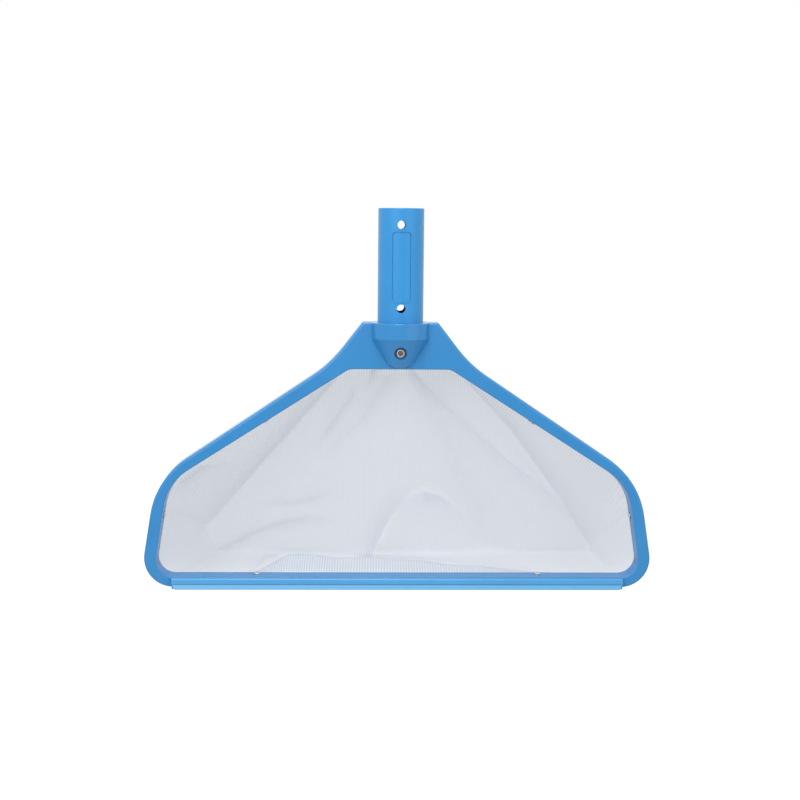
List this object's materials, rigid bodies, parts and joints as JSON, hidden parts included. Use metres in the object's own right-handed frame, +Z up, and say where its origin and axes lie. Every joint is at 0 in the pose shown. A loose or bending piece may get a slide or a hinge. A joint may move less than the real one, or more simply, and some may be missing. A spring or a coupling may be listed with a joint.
{
  "type": "leaf skimmer net",
  "caption": "Hand-net head for a pool pole: a wide moulded frame with a scoop-shaped mesh bag, a tube socket for the pole and a soft scraper lip.",
  "frame": {"origin": "centre of the pole socket's mouth", "axes": "+Z up along the pole, +X to the right seen from the net's mouth, mouth of the net towards -Y, bag towards +Y"},
  "size_m": [0.452, 0.1299, 0.3377],
  "materials": {
    "frame_plastic": "satin moulded ABS",
    "socket_plastic": "satin moulded ABS",
    "strip_plastic": "extruded PVC, slight gloss",
    "blade_vinyl": "soft vinyl, slight gloss",
    "clamp_plastic": "matt extruded plastic",
    "net_mesh": "fine knitted polyester mesh",
    "hem_tape": "woven polyester tape",
    "screw_steel": "bright stainless steel",
    "rivet_aluminium": "bright",
    "mandrel_steel": "dark broken end"
  },
  "bodies": {
    "head": {"handle_socket": "socket_plastic", "frame": "frame_plastic", "socket_screw": "screw_steel", "socket_nut": "screw_steel", "net_hem": "hem_tape", "net_clamp_ring": "clamp_plastic", "net_bag": "net_mesh", "lip_strip": "strip_plastic", "rivet_left_slant": "rivet_aluminium", "rivet_mandrel_left_slant": "mandrel_steel", "rivet_right_slant": "rivet_aluminium", "rivet_mandrel_right_slant": "mandrel_steel", "rivet_left_side": "rivet_aluminium", "rivet_mandrel_left_side": "mandrel_steel", "rivet_right_side": "rivet_aluminium", "rivet_mandrel_right_side": "mandrel_steel", "rivet_left_bottom": "rivet_aluminium", "rivet_mandrel_left_bottom": "mandrel_steel", "rivet_right_bottom": "rivet_aluminium", "rivet_mandrel_right_bottom": "mandrel_steel"},
    "lip": {"lip_blade": "blade_vinyl"}
  },
  "joints": [
    {"name": "lip_flex", "type": "hinge", "parent": "head", "child": "lip", "pos_m": [0, -0.01065, -0.3323], "axis": [1, 0, 0], "range_deg": [-25, 25], "stiffness_Nm_per_rad": 0.06}
  ]
}
